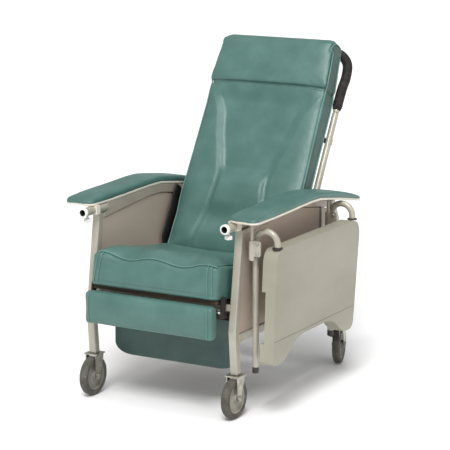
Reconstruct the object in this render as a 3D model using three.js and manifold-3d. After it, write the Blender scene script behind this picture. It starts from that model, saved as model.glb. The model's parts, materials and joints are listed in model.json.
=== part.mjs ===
// Patient recliner chair on casters, with a stored side tray. Millimetres, +Z up, the sitter faces -Y.
// The chair is laid out with X = 0 on its middle plane, Y = 0 near the front axles and Z = 0 on the floor.
// At the end it is moved so that the origin is the bottom centre of its bounding box.
import * as THREE from 'three';
import { mergeVertices } from 'three/addons/utils/BufferGeometryUtils.js';
import Module from 'manifold-3d';

const wasm = await Module();
wasm.setup();

const SIDES = [['left', -1], ['right', 1]];
const GAP = 0.3;
const DEG = Math.PI / 180;

// ---- driving dimensions ----
const TUBE = 25.4;
const HALF_TUBE = TUBE / 2;
const LEG_X = 257;
const RAIL_INNER_X = LEG_X - HALF_TUBE;

const WHEEL_R = 63.5;
const WHEEL_WIDTH = 27;
const AXLE_R = 5;
const TRAIL = 10;
const FORK_TOP = 135.7;
const LEG_BOTTOM = FORK_TOP + GAP;
const FRONT_STEM_Y = 10;
const REAR_STEM_Y = 712;

const LOWER_RAIL_Z = 250;
const POST_Y = 562;
const UPPER_RAIL_HEIGHT = 30;
const SOCKET_RAIL_DROP = 18;

const ARM_INNER_X = 243;
const ARM_OUTER_X = 344;
const ARM_FRONT_Y = -22;
const ARM_REAR_Y = 705;
const ARM_BOARD_THICK = 7;
const ARM_PAD_THICK = 22;

const SEAT_TILT = 8.5 * DEG;
const SEAT_FRONT_Y = -50;
const SEAT_FRONT_Z = 374;
const SEAT_HALF_WIDTH = 229;
const SEAT_THICK = 126;
const SEAT_DEPTH = 440;
const SEAT_OVERHANG = 15;
const SEAT_CUSHION_REAR = 410;
const SEAT_BOARD_THICK = 12;

const BACK_LEAN = 29.4 * DEG;
const BACK_FOOT_Y = 395;
const BACK_FOOT_Z = 437;
const BACK_THICK = 75;
const BACK_LOW_END = -30;
const BACK_SEAM = 567;
const BACK_TOP = 750;
const HEADREST_BULGE = 16;
const BACK_TUBE_R = 11;
const BACK_TUBE_X = 226;
const BACK_TUBE_DEPTH = 95;
const BACK_PIVOT_Y = 425;
const BACK_PIVOT_Z = 400;

const TRAY_TUBE_R = 10;
const TRAY_ARM_SPACING = 506;
const TRAY_ARM_FRONT_Y = 58;
const TRAY_ROD_X = 300;
const TRAY_BEND_R = 37;
const TRAY_BEND_Z = 543;
const TRAY_ROD_BOTTOM = 135;
const TRAY_INNER_X = 341;
const TRAY_OUTER_X = 388;
const TRAY_TOP_Z = 531;

const SOCKET_Z = 597;
const SOCKET_R = 14;
const SOCKET_BORE_R = 10.5;
const SOCKET_MOUTH_Y = -53;
const SOCKET_LENGTH = 128;

// ---- materials ----
const paint = (color, roughness, metalness) => new THREE.MeshStandardMaterial({ color, roughness, metalness });
const almondPaint = paint(0xcdc6b8, 0.45, 0.3);
const panelPlastic = paint(0xa89c8d, 0.6, 0);
const tealVinyl = paint(0x6c9088, 0.5, 0);
const darkVinyl = paint(0x4a6f68, 0.55, 0);
const trayPlastic = paint(0xb4b1a2, 0.5, 0);
const creamBoard = paint(0xd9d2c6, 0.6, 0);
const darkSteel = paint(0x2c2724, 0.5, 0.6);
const forkSteel = paint(0xa9a69b, 0.4, 0.6);
const tyreRubber = paint(0x55534c, 0.8, 0);
const whitePlastic = paint(0xece9e4, 0.5, 0);
const blackFoam = paint(0x17181a, 0.9, 0);
const plywood = paint(0x9b8a70, 0.8, 0);

// ---- shape helpers ----

function outline(points) {
  return new THREE.Shape(points.map(([a, b]) => new THREE.Vector2(a, b)));
}

function roundedRect(a0, b0, a1, b1, radius) {
  const shape = new THREE.Shape();
  shape.moveTo(a0 + radius, b0);
  shape.lineTo(a1 - radius, b0);
  shape.absarc(a1 - radius, b0 + radius, radius, -Math.PI / 2, 0);
  shape.lineTo(a1, b1 - radius);
  shape.absarc(a1 - radius, b1 - radius, radius, 0, Math.PI / 2);
  shape.lineTo(a0 + radius, b1);
  shape.absarc(a0 + radius, b1 - radius, radius, Math.PI / 2, Math.PI);
  shape.lineTo(a0, b0 + radius);
  shape.absarc(a0 + radius, b0 + radius, radius, Math.PI, 1.5 * Math.PI);
  return shape;
}

function extrude(shape, depth, bevel, curveSegments) {
  return new THREE.ExtrudeGeometry(shape, {
    depth: depth - 2 * bevel,
    bevelEnabled: bevel > 0,
    bevelThickness: bevel,
    bevelSize: bevel,
    bevelOffset: -bevel,
    bevelSegments: 3,
    curveSegments,
  }).translate(0, 0, bevel);
}

// The outline is drawn in (X, Y) and runs up from z0 to z1.
function alongZ(shape, z0, z1, bevel = 0, curveSegments = 6) {
  return extrude(shape, z1 - z0, bevel, curveSegments).translate(0, 0, z0);
}

// The outline is drawn in (Y, Z) and runs across from x0 to x1.
function alongX(shape, x0, x1, bevel = 0, curveSegments = 6) {
  const turned = new THREE.Matrix4().makeBasis(
    new THREE.Vector3(0, 1, 0), new THREE.Vector3(0, 0, 1), new THREE.Vector3(1, 0, 0));
  return extrude(shape, x1 - x0, bevel, curveSegments).applyMatrix4(turned).translate(x0, 0, 0);
}

// The outline is drawn in (Z, X) and runs back from y0 to y1.
function alongY(shape, y0, y1, bevel = 0, curveSegments = 6) {
  const turned = new THREE.Matrix4().makeBasis(
    new THREE.Vector3(0, 0, 1), new THREE.Vector3(1, 0, 0), new THREE.Vector3(0, 1, 0));
  return extrude(shape, y1 - y0, bevel, curveSegments).applyMatrix4(turned).translate(0, y0, 0);
}

function block(x0, x1, y0, y1, z0, z1) {
  return new THREE.BoxGeometry(x1 - x0, y1 - y0, z1 - z0)
    .translate((x0 + x1) / 2, (y0 + y1) / 2, (z0 + z1) / 2);
}

// A closed cylinder between two ends on one axis: 'x', 'y' or 'z'.
function rod(axis, from, to, radius, sides = 16) {
  const geometry = new THREE.CylinderGeometry(radius, radius, to - from, sides);
  geometry.translate(0, (from + to) / 2, 0);
  if (axis === 'x') geometry.rotateZ(-Math.PI / 2);
  if (axis === 'z') geometry.rotateX(Math.PI / 2);
  return geometry;
}

// The outline, in one plane, of a bar of even width whose middle line bends at each point.
// Its ends are cut level.
function stripOutline(points, width) {
  const half = width / 2;
  const line = points.map(([a, b]) => new THREE.Vector2(a, b));
  const last = line.length - 1;
  const side = (sign) => line.map((point, i) => {
    const into = line[Math.max(i, 1)].clone().sub(line[Math.max(i, 1) - 1]).normalize();
    if (i === 0 || i === last) {
      return new THREE.Vector2(point.x - sign * half / into.y, point.y);
    }
    const out = line[i + 1].clone().sub(line[i]).normalize();
    const middle = into.clone().add(out).normalize();
    const normal = new THREE.Vector2(-middle.y, middle.x);
    return point.clone().addScaledVector(normal, sign * half / middle.dot(into));
  });
  return new THREE.Shape([...side(-1), ...side(1).reverse()]);
}

function circle(radius) {
  const shape = new THREE.Shape();
  shape.absarc(0, 0, radius, 0, 2 * Math.PI);
  return shape;
}

function sweep(section, path, steps, curveSegments = 6) {
  return new THREE.ExtrudeGeometry(section, { extrudePath: path, steps, curveSegments });
}

function toSolid(geometry) {
  const bare = geometry.clone();
  bare.deleteAttribute('normal');
  bare.deleteAttribute('uv');
  const merged = mergeVertices(bare, 1e-3);
  return new wasm.Manifold(new wasm.Mesh({
    numProp: 3,
    vertProperties: new Float32Array(merged.attributes.position.array),
    triVerts: new Uint32Array(merged.index.array),
  }));
}

function toGeometry(solid) {
  const mesh = solid.getMesh();
  const geometry = new THREE.BufferGeometry();
  geometry.setAttribute('position', new THREE.BufferAttribute(mesh.vertProperties, 3));
  geometry.setIndex(new THREE.BufferAttribute(mesh.triVerts, 1));
  geometry.computeVertexNormals();
  return geometry;
}

function join(...geometries) {
  return toGeometry(geometries.map(toSolid).reduce((sum, next) => sum.add(next)));
}

function cut(geometry, ...tools) {
  return toGeometry(tools.map(toSolid).reduce((rest, tool) => rest.subtract(tool), toSolid(geometry)));
}

function common(first, second) {
  return toGeometry(toSolid(first).intersect(toSolid(second)));
}

function addPart(group, name, geometry, material) {
  const mesh = new THREE.Mesh(geometry, material);
  mesh.name = name;
  group.add(mesh);
  return mesh;
}

// ---- side frames ----

const FRONT_LEG_LINE = [[FRONT_STEM_Y, LEG_BOTTOM], [-2, 272], [42, SOCKET_Z - SOCKET_R - GAP]];
const REAR_LEG_LINE = [[REAR_STEM_Y, LEG_BOTTOM], [692, 300], [669, 505], [634, 574]];

// Height of the underside of the armrest board at a distance from the front.
const ARM_UNDERSIDE = [[ARM_FRONT_Y, 612], [100, 612], [330, 620], [400, 619], [540, 597], [ARM_REAR_Y, 565]];

function lineAt(line, at) {
  const next = line.findIndex(([a], i) => i > 0 && at <= a);
  const [a0, b0] = line[next - 1];
  const [a1, b1] = line[next];
  return b0 + (b1 - b0) * (at - a0) / (a1 - a0);
}

// The distance back of a leg's middle line at a height.
function legAt(line, height) {
  return lineAt(line.map(([y, z]) => [z, y]), height);
}

function sideBar(shape, side, halfWidth) {
  return alongX(shape, side * LEG_X - halfWidth, side * LEG_X + halfWidth);
}

function addLegs(group, label, side) {
  const frontLeg = sideBar(stripOutline(FRONT_LEG_LINE, TUBE), side, HALF_TUBE);
  addPart(group, `front_leg_${label}`, frontLeg, almondPaint);
  const rearLeg = sideBar(stripOutline(REAR_LEG_LINE, TUBE), side, HALF_TUBE);
  const underArm = sideBar(outline([[590, 520], [720, 520], [720, lineAt(ARM_UNDERSIDE, 700) - 3],
    [590, lineAt(ARM_UNDERSIDE, 590) - 3]]), side, TUBE);
  const below = block(side * LEG_X - TUBE, side * LEG_X + TUBE, 560, 760, 100, 530);
  addPart(group, `rear_leg_${label}`, common(rearLeg, join(underArm, below)), almondPaint);
}

function addRails(group, label, side) {
  const low = LOWER_RAIL_Z - HALF_TUBE;
  const high = LOWER_RAIL_Z + HALF_TUBE;
  const clear = HALF_TUBE + 1;
  const lower = outline([
    [legAt(FRONT_LEG_LINE, low) + clear, low],
    [legAt(REAR_LEG_LINE, low) - clear, low],
    [legAt(REAR_LEG_LINE, high) - clear, high],
    [legAt(FRONT_LEG_LINE, high) + clear, high],
  ]);
  addPart(group, `lower_rail_${label}`, sideBar(lower, side, HALF_TUBE), almondPaint);

  const socketEnd = SOCKET_MOUTH_Y + SOCKET_LENGTH + 1;
  const rearEnd = 600;
  const top = (y) => lineAt(ARM_UNDERSIDE, y) - GAP;
  const socketUnder = SOCKET_Z - SOCKET_R - GAP;
  const front = legAt(FRONT_LEG_LINE, 560) + HALF_TUBE + 4;
  const upper = outline([
    [front, socketUnder - SOCKET_RAIL_DROP],
    [330, top(330) - UPPER_RAIL_HEIGHT],
    [400, top(400) - UPPER_RAIL_HEIGHT],
    [540, top(540) - UPPER_RAIL_HEIGHT],
    [rearEnd, top(rearEnd) - UPPER_RAIL_HEIGHT],
    [rearEnd, top(rearEnd)],
    [540, top(540)],
    [400, top(400)],
    [330, top(330)],
    [100, top(100)],
    [socketEnd, top(socketEnd)],
    [socketEnd, socketUnder],
    [front, socketUnder],
  ]);
  addPart(group, `upper_rail_${label}`, sideBar(upper, side, HALF_TUBE), almondPaint);
}

function addPostAndPanels(group, label, side) {
  const floorZ = LOWER_RAIL_Z + HALF_TUBE + GAP;
  const railUnder = (y) => lineAt(ARM_UNDERSIDE, y) - UPPER_RAIL_HEIGHT - 2 * GAP;
  const postFront = POST_Y - HALF_TUBE;
  const postRear = POST_Y + HALF_TUBE;
  const post = outline([
    [postFront, floorZ], [postRear, floorZ], [postRear, railUnder(postRear)], [postFront, railUnder(postFront)],
  ]);
  addPart(group, `rear_post_${label}`, sideBar(post, side, HALF_TUBE), almondPaint);

  const slot = HALF_TUBE + 4;
  const underRail = SOCKET_Z - SOCKET_R - GAP - SOCKET_RAIL_DROP - 1;
  const main = outline([
    [legAt(FRONT_LEG_LINE, floorZ) + slot, floorZ],
    [postFront - 2, floorZ],
    [postFront - 2, railUnder(postFront) - 0.6],
    [400, railUnder(400) - 0.6],
    [330, railUnder(330) - 0.6],
    [legAt(FRONT_LEG_LINE, underRail) + slot + 2, underRail],
    [legAt(FRONT_LEG_LINE, 272) + slot, 272],
  ]);
  addPart(group, `side_panel_${label}`, sideBar(main, side, 9), panelPlastic);

  const bend = 505;
  const rear = outline([
    [postRear + 3, floorZ],
    [legAt(REAR_LEG_LINE, floorZ) - slot, floorZ],
    [legAt(REAR_LEG_LINE, 300) - slot, 300],
    [legAt(REAR_LEG_LINE, bend) - slot, bend],
    [620, 545],
    [598, railUnder(598) - 2],
    [postRear + 3, railUnder(postRear) - 2],
  ]);
  addPart(group, `rear_panel_${label}`, sideBar(rear, side, 9), panelPlastic);
}

// ---- armrests ----

// Plan of an armrest: rounded at the front, drawn in to a blunt point at the rear.
function armPlan(side, inset) {
  const inner = ARM_INNER_X + inset;
  const outer = ARM_OUTER_X - inset;
  const front = ARM_FRONT_Y + inset;
  const rear = ARM_REAR_Y - inset;
  const frontR = 24 - inset;
  const rearInnerR = 22 - inset;
  const rearOuterR = 30 - inset;
  const shape = new THREE.Shape();
  shape.moveTo(inner + frontR, front + 5);
  shape.lineTo(outer - frontR, front);
  shape.absarc(outer - frontR, front + frontR, frontR, -Math.PI / 2, 0);
  shape.lineTo(outer, rear - rearOuterR);
  shape.absarc(outer - rearOuterR, rear - rearOuterR, rearOuterR, 0, Math.PI / 2);
  shape.lineTo(inner + rearInnerR, rear);
  shape.absarc(inner + rearInnerR, rear - rearInnerR, rearInnerR, Math.PI / 2, Math.PI);
  shape.lineTo(inner, front + 5 + frontR);
  shape.absarc(inner + frontR, front + 5 + frontR, frontR, Math.PI, 1.5 * Math.PI);
  return side > 0 ? shape : mirrored(shape);
}

function mirrored(shape) {
  const points = shape.getPoints(6).map(({ x, y }) => new THREE.Vector2(-x, y));
  return new THREE.Shape(points.reverse());
}

function armLayer(side, inset, lift, thickness) {
  const bottom = ARM_UNDERSIDE.map(([y, z]) => [y, z + lift]);
  const top = bottom.map(([y, z]) => [y, z + thickness]).reverse();
  const profile = alongX(outline([...bottom, ...top]), side * 300 - 80, side * 300 + 80);
  return common(profile, alongZ(armPlan(side, inset), 500, 720));
}

// The pad's ends thin down from its middle thickness.
function armPadGeometry(side) {
  const lift = ARM_BOARD_THICK + GAP;
  const full = ARM_PAD_THICK;
  const thickness = [[ARM_FRONT_Y, 0.5], [8, 0.85], [60, 1], [540, 1], [650, 0.8], [ARM_REAR_Y, 0.4]];
  const bottom = ARM_UNDERSIDE.map(([y, z]) => [y, z + lift]);
  const places = [...new Set([...thickness, ...ARM_UNDERSIDE].map(([y]) => y))].sort((a, b) => b - a);
  const top = places.map((y) => [y, lineAt(ARM_UNDERSIDE, y) + lift + full * lineAt(thickness, y)]);
  const profile = alongX(outline([...bottom, ...top]), side * 300 - 80, side * 300 + 80);
  return common(profile, alongZ(armPlan(side, 0), 500, 720));
}

function addArmrest(group, label, side) {
  addPart(group, `arm_board_${label}`, armLayer(side, 0.5, 0, ARM_BOARD_THICK), creamBoard);
  addPart(group, `arm_pad_${label}`, armPadGeometry(side), tealVinyl);
}

// ---- tray sockets, their lock knobs and the tray's storage brackets ----

function addSocket(group, label, side) {
  const x = side * TRAY_ARM_SPACING / 2;
  const end = SOCKET_MOUTH_Y + SOCKET_LENGTH;
  const collar = rod('y', SOCKET_MOUTH_Y, SOCKET_MOUTH_Y + 9, SOCKET_R + 1.6, 20);
  const body = join(rod('y', SOCKET_MOUTH_Y, end, SOCKET_R, 20), collar);
  const bore = rod('y', SOCKET_MOUTH_Y - 1, end - 15, SOCKET_BORE_R, 20);
  addPart(group, `tray_socket_${label}`, cut(body, bore), almondPaint).position.set(x, 0, SOCKET_Z);

  const profile = [[0, -20], [9, -20], [12, -16], [12, -9], [4, -6], [4, 0], [0, 0]];
  const knob = new THREE.LatheGeometry(profile.map(([r, z]) => new THREE.Vector2(r, z)), 14);
  knob.rotateX(Math.PI / 2);
  const place = addPart(group, `socket_knob_${label}`, knob, whitePlastic).position;
  place.set(x, -26, SOCKET_Z - SOCKET_R - GAP);
}

function addStorageBracket(group, label, y) {
  const top = lineAt(ARM_UNDERSIDE, y) - GAP;
  const postY = -24;
  const sleeveTop = 547;
  const sleeveBottom = 492;
  const post = rod('z', sleeveTop, top, 5, 14).translate(0, postY, 0);
  const sleeve = rod('z', sleeveBottom, sleeveTop + 1, 10, 14).translate(0, postY, 0);
  const foot = block(-18, 14, postY - 8, postY + 24, top - 3, top);
  const cradleR = TRAY_TUBE_R + 0.6;
  const wall = 4;
  const jaw = block(-cradleR - wall, cradleR + 2, -cradleR - wall, cradleR + wall, 500, 540);
  const seat = join(
    rod('z', 499, 541, cradleR, 18),
    block(0, 30, -cradleR, cradleR, 499, 541),
  );
  const bracket = join(post, sleeve, foot, cut(jaw, seat));
  addPart(group, `storage_bracket_${label}`, bracket, almondPaint).position.set(TRAY_ROD_X, y, 0);
}

// ---- seat ----

function buildSeat() {
  const seat = new THREE.Group();
  seat.position.set(0, SEAT_FRONT_Y, SEAT_FRONT_Z);
  seat.rotation.x = -SEAT_TILT;

  const plan = roundedRect(-SEAT_HALF_WIDTH, -SEAT_OVERHANG, SEAT_HALF_WIDTH, SEAT_CUSHION_REAR, 24);
  const cushion = alongZ(plan, GAP, SEAT_THICK, 8, 4);
  addPart(seat, 'seat_cushion', cushion, tealVinyl);
  addPart(seat, 'seat_board', block(-222, 222, 8, SEAT_DEPTH, -SEAT_BOARD_THICK, 0), plywood);
  addPart(seat, 'front_cross_tube', block(-RAIL_INNER_X + 1, RAIL_INNER_X - 1, 52, 72, -32.3, -12.3), almondPaint);
  const railTop = -12 - GAP;
  for (const [label, side] of SIDES) {
    const rail = block(side * 200 - HALF_TUBE, side * 200 + HALF_TUBE, 72 + GAP, 588, railTop - TUBE, railTop);
    addPart(seat, `seat_rail_${label}`, rail, almondPaint);
  }
  const rearTop = railTop - TUBE - GAP;
  const rearCross = block(-RAIL_INNER_X + 1, RAIL_INNER_X - 1, 562, 562 + TUBE, rearTop - TUBE, rearTop);
  addPart(seat, 'rear_cross_tube', rearCross, almondPaint);
  return seat;
}

// A fixed steel lug on each lower rail carries the pin that the back turns on.
function addReclineLug(group, label, side) {
  const inner = 238.5;
  const outer = RAIL_INNER_X - 0.8;
  const lug = outline([
    [BACK_PIVOT_Y - 26, LOWER_RAIL_Z - 10], [BACK_PIVOT_Y + 26, LOWER_RAIL_Z - 10],
    [BACK_PIVOT_Y + 16, BACK_PIVOT_Z + 14], [BACK_PIVOT_Y - 16, BACK_PIVOT_Z + 14],
  ]);
  const plate = side > 0 ? alongX(lug, inner, outer) : alongX(lug, -outer, -inner);
  const ends = [side * 229, side * (inner + 2)].sort((a, b) => a - b);
  const pin = rod('x', ends[0], ends[1], 5, 16).translate(0, BACK_PIVOT_Y, BACK_PIVOT_Z);
  addPart(group, `recline_lug_${label}`, join(plate, pin), darkSteel);
}

// ---- leg rest: a carriage that slides out under the seat, with two upholstered panels hinged on it ----

const PAD_HINGE = { along: 14.4, up: -42.3 };
const CALF_HINGE = { along: 143, up: -62 };

function seatToWorld({ along, up }) {
  return {
    y: SEAT_FRONT_Y + along * Math.cos(SEAT_TILT) + up * Math.sin(SEAT_TILT),
    z: SEAT_FRONT_Z - along * Math.sin(SEAT_TILT) + up * Math.cos(SEAT_TILT),
  };
}

function addCarriage(seat) {
  const barBottom = -54;
  const barTop = -38.5;
  const noseTop = -40.5;
  const barIn = 225.5;
  const barOut = 235.5;
  const bar = outline([[8, barBottom], [330, barBottom], [330, barTop], [45, barTop], [45, noseTop], [8, noseTop]]);
  const ear = roundedRect(16, barBottom + 2, 40, 12, 6);
  const pieces = SIDES.flatMap(([, side]) => {
    const ends = (a, b) => (side > 0 ? [a, b] : [-b, -a]);
    const knuckle = outline([
      [CALF_HINGE.along - 8, barTop - 1], [CALF_HINGE.along - 8, CALF_HINGE.up - 4],
      [CALF_HINGE.along + 4, CALF_HINGE.up - 8], [CALF_HINGE.along + 8, barTop - 1],
    ]);
    return [
      alongX(bar, ...ends(barIn, barOut)),
      alongX(ear, ...ends(230.5, barOut)),
      alongX(knuckle, ...ends(190, 196)),
    ];
  });
  const crossBars = [CALF_HINGE.along - 7, 300].map((at) => block(-barIn - 1, barIn + 1, at, at + 14, barBottom + 4, barTop));
  addPart(seat, 'legrest_carriage', join(...pieces, ...crossBars), darkSteel);
}

function addLegRestPad(group) {
  const hinge = seatToWorld(PAD_HINGE);
  const padBack = -50;
  const pad = alongX(roundedRect(-98, 256, padBack, 360, 14), -228, 228, 8, 4);
  addPart(group, 'legrest_pad', pad, tealVinyl);
  const leaf = block(-150, 150, padBack + GAP, padBack + 3.5, 272, 348);
  const lip = block(-150, 150, padBack + 2, hinge.y, hinge.z - 3, hinge.z + 3);
  const barrel = rod('x', -224, 224, 5, 14).translate(0, hinge.y, hinge.z);
  addPart(group, 'legrest_pad_bracket', join(leaf, lip, barrel), darkSteel);
}

function addCalfBoard(group) {
  const hinge = seatToWorld(CALF_HINGE);
  const bottom = 119;
  const top = hinge.z - 9;
  const half = 221;
  const shape = new THREE.Shape();
  shape.moveTo(bottom + 6, -half + 62);
  shape.quadraticCurveTo(bottom + 8, -half + 8, bottom + 40, -half);
  shape.lineTo(top, -half);
  shape.lineTo(top, half);
  shape.lineTo(bottom + 40, half);
  shape.quadraticCurveTo(bottom + 8, half - 8, bottom + 6, half - 62);
  const panel = alongY(shape, hinge.y - 6, hinge.y + 14, 4, 6);
  const leaf = block(-185, 185, hinge.y - 2, hinge.y + 2, top - 20, hinge.z);
  const barrel = rod('x', -188, 188, 5, 14).translate(0, hinge.y, hinge.z);
  addPart(group, 'calf_board', join(panel, leaf, barrel), darkVinyl);
}

// ---- back: local Y points back through the cushion, local Z up along it ----

function backHalfWidth(up) {
  return lineAt([[-50, 226], [260, 227], [490, 220], [BACK_SEAM, 221], [670, 215], [BACK_TOP, 207]], up);
}

function backOutline(from, to, bottomR, topR, inset = 0) {
  const low = backHalfWidth(from) - inset;
  const high = backHalfWidth(to) - inset;
  const shape = new THREE.Shape();
  shape.moveTo(from, -low + bottomR);
  shape.quadraticCurveTo(from, -low, from + bottomR, -low);
  shape.lineTo(to - topR, -high);
  shape.quadraticCurveTo(to, -high, to, -high + topR);
  shape.lineTo(to, high - topR);
  shape.quadraticCurveTo(to, high, to - topR, high);
  shape.lineTo(from + bottomR, low);
  shape.quadraticCurveTo(from, low, from, low - bottomR);
  return shape;
}

function pushBarPath(start) {
  const right = [
    [BACK_TUBE_X, BACK_TUBE_DEPTH, start], [BACK_TUBE_X, BACK_TUBE_DEPTH + 2, 600],
    [BACK_TUBE_X - 1, BACK_TUBE_DEPTH + 12, 655], [BACK_TUBE_X - 10, BACK_TUBE_DEPTH + 13, 702],
    [BACK_TUBE_X - 42, BACK_TUBE_DEPTH + 10, 731], [BACK_TUBE_X - 90, BACK_TUBE_DEPTH + 8, 738],
  ];
  const left = right.map(([x, y, z]) => [-x, y, z]).reverse();
  const points = [...right, [0, BACK_TUBE_DEPTH + 7, 739], ...left];
  return new THREE.CatmullRomCurve3(points.map(([x, y, z]) => new THREE.Vector3(x, y, z)), false, 'centripetal');
}

function addReclinePlate(back, label, side) {
  const pivotY = BACK_PIVOT_Y - BACK_FOOT_Y;
  const pivotZ = BACK_PIVOT_Z - BACK_FOOT_Z;
  const depth = pivotY * Math.cos(BACK_LEAN) - pivotZ * Math.sin(BACK_LEAN);
  const up = pivotY * Math.sin(BACK_LEAN) + pivotZ * Math.cos(BACK_LEAN);
  const plate = outline([[-14, 4], [20, -40], [64, -34], [82, 20], [82, 150], [14, 188], [-14, 188]]);
  const ends = side > 0 ? [230.5, 235.5] : [-235.5, -230.5];
  const hole = rod('x', ends[0] - 1, ends[1] + 1, 5.5, 16).translate(0, depth, up);
  addPart(back, `recline_plate_${label}`, cut(alongX(plate, ...ends), hole), darkSteel);
}

function buildBack() {
  const back = new THREE.Group();
  back.position.set(0, BACK_FOOT_Y, BACK_FOOT_Z);
  back.rotation.x = -BACK_LEAN;

  const cushion = alongY(backOutline(BACK_LOW_END, BACK_SEAM - 0.6, 14, 11), 0, BACK_THICK, 7, 4);
  addPart(back, 'back_cushion', cushion, tealVinyl);
  const headrest = alongY(backOutline(BACK_SEAM + 0.6, BACK_TOP, 11, 14), -HEADREST_BULGE, BACK_THICK, 7, 5);
  addPart(back, 'headrest', headrest, tealVinyl);
  const board = alongY(backOutline(-5, BACK_TOP - 12, 10, 40, 8), BACK_THICK + GAP, BACK_THICK + 8, 0, 4);
  addPart(back, 'back_board', board, darkVinyl);

  const joint = 520;
  for (const [label, side] of SIDES) {
    const upright = rod('z', -12, joint, BACK_TUBE_R, 14).translate(side * BACK_TUBE_X, BACK_TUBE_DEPTH, 0);
    addPart(back, `back_upright_${label}`, upright, almondPaint);
    addReclinePlate(back, label, side);
  }
  const crossEnd = BACK_TUBE_X - BACK_TUBE_R - 1;
  const cross = rod('x', -crossEnd, crossEnd, BACK_TUBE_R, 14).translate(0, BACK_TUBE_DEPTH + 1, 120);
  addPart(back, 'back_cross_tube', cross, almondPaint);
  const barPath = pushBarPath(joint + GAP);
  const barSteps = 36;
  addPart(back, 'push_bar', sweep(circle(BACK_TUBE_R), barPath, barSteps), almondPaint);
  const sleeve = sweep(circle(BACK_TUBE_R + 5.5), gripPath(barPath), 26);
  const bore = sweep(circle(BACK_TUBE_R + 0.5), barPath, barSteps);
  addPart(back, 'push_grip', cut(sleeve, bore), blackFoam);
  return back;
}

// The foam grip covers the push bar's middle run, from one side's bend to the other's.
function gripPath(bar) {
  const cover = 0.006;
  const points = [];
  for (let i = 0; i <= 72; i += 1) {
    points.push(bar.getPointAt(cover + (1 - 2 * cover) * i / 72));
  }
  return new THREE.CatmullRomCurve3(points, false, 'centripetal');
}

// ---- tray ----

function trayOutline() {
  const corner = 52;
  const shape = new THREE.Shape();
  shape.moveTo(8, 192);
  shape.quadraticCurveTo(8, 178, 22, 178);
  shape.lineTo(62, 178);
  shape.quadraticCurveTo(92, 182, 122, 208);
  shape.quadraticCurveTo(160, 240, 215, 240);
  shape.lineTo(345, 240);
  shape.quadraticCurveTo(402, 240, 438, 210);
  shape.quadraticCurveTo(472, 182, 492, 178);
  shape.lineTo(520, 178);
  shape.quadraticCurveTo(545, 178, 552, 202);
  shape.lineTo(590, TRAY_TOP_Z - corner);
  shape.quadraticCurveTo(592, TRAY_TOP_Z, 592 - corner, TRAY_TOP_Z);
  shape.lineTo(28 + corner - 10, TRAY_TOP_Z);
  shape.quadraticCurveTo(28, TRAY_TOP_Z, 27, TRAY_TOP_Z - corner);
  return shape;
}

function buildTray() {
  const tray = new THREE.Group();
  const slab = alongX(trayOutline(), TRAY_INNER_X, TRAY_OUTER_X, 6, 6);
  const recessX = TRAY_INNER_X + 13;
  const grips = [
    block(TRAY_INNER_X - 1, recessX, -20, 42, 243, 402),
    block(TRAY_INNER_X - 1, recessX, 540, 620, 243, 402),
  ];
  addPart(tray, 'tray_top', cut(slab, ...grips), trayPlastic);

  const legX = TRAY_ROD_X + 2 * TRAY_BEND_R;
  const centre = new THREE.Vector3(TRAY_ROD_X + TRAY_BEND_R, 0, TRAY_BEND_Z);
  for (const [label, offset] of [['front', 0], ['rear', TRAY_ARM_SPACING]]) {
    const arm = join(
      rod('z', TRAY_ROD_BOTTOM, TRAY_BEND_Z + 0.01, TRAY_TUBE_R, 16).translate(TRAY_ROD_X, 0, 0),
      sweep(circle(TRAY_TUBE_R), new BendCurve(centre, TRAY_BEND_R), 12, 8),
      rod('z', TRAY_TOP_Z + GAP, TRAY_BEND_Z + 0.01, TRAY_TUBE_R, 16).translate(legX, 0, 0),
    );
    addPart(tray, `tray_arm_${label}`, arm, almondPaint).position.y = TRAY_ARM_FRONT_Y + offset;
  }
  return tray;
}

// A half circle over the top, in the XZ plane.
class BendCurve extends THREE.Curve {
  constructor(centre, radius) {
    super();
    this.centre = centre;
    this.radius = radius;
  }

  getPoint(t, target = new THREE.Vector3()) {
    const angle = Math.PI * (1 - t);
    return target.set(
      this.centre.x + this.radius * Math.cos(angle), 0, this.centre.z + this.radius * Math.sin(angle));
  }
}

// ---- casters: local origin on the stem's axis at the floor, the wheel trails towards +Y ----

function forkGeometry() {
  const cheekIn = WHEEL_WIDTH / 2 + 3;
  const cheekOut = cheekIn + 3;
  const top = FORK_TOP;
  const under = top - 4;
  const cheek = new THREE.Shape();
  cheek.moveTo(-22, under + 1);
  cheek.lineTo(-22, under - 10);
  cheek.lineTo(TRAIL - 11, WHEEL_R + 2);
  cheek.absarc(TRAIL, WHEEL_R, 11, Math.PI * 0.95, Math.PI * 2.05);
  cheek.lineTo(24, under - 10);
  cheek.lineTo(24, under + 1);
  return join(
    block(-24, 24, -24, 25, under, top),
    alongX(cheek, -cheekOut, -cheekIn, 0, 5),
    alongX(cheek, cheekIn, cheekOut, 0, 5),
    rod('x', -cheekOut - 5, cheekOut + 5, AXLE_R, 12).translate(0, TRAIL, WHEEL_R),
    rod('x', cheekOut - 1, cheekOut + 4, 8, 12).translate(0, TRAIL, WHEEL_R),
    rod('x', -cheekOut - 4, -cheekOut + 1, 8, 12).translate(0, TRAIL, WHEEL_R),
  );
}

function wheelGeometry() {
  const half = WHEEL_WIDTH / 2;
  const bore = AXLE_R + 0.7;
  const profile = [
    [bore, half + 1], [14, half + 1], [16, half - 4], [40, half - 7], [47, half - 1.5], [56, half],
    [61.5, half - 4], [WHEEL_R, 0],
  ];
  const mirror = profile.slice(0, -1).map(([r, x]) => [r, -x]).reverse();
  const ring = [...profile, ...mirror, profile[0]].map(([r, x]) => new THREE.Vector2(r, -x));
  return new THREE.LatheGeometry(ring, 28).rotateZ(-Math.PI / 2);
}

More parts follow.
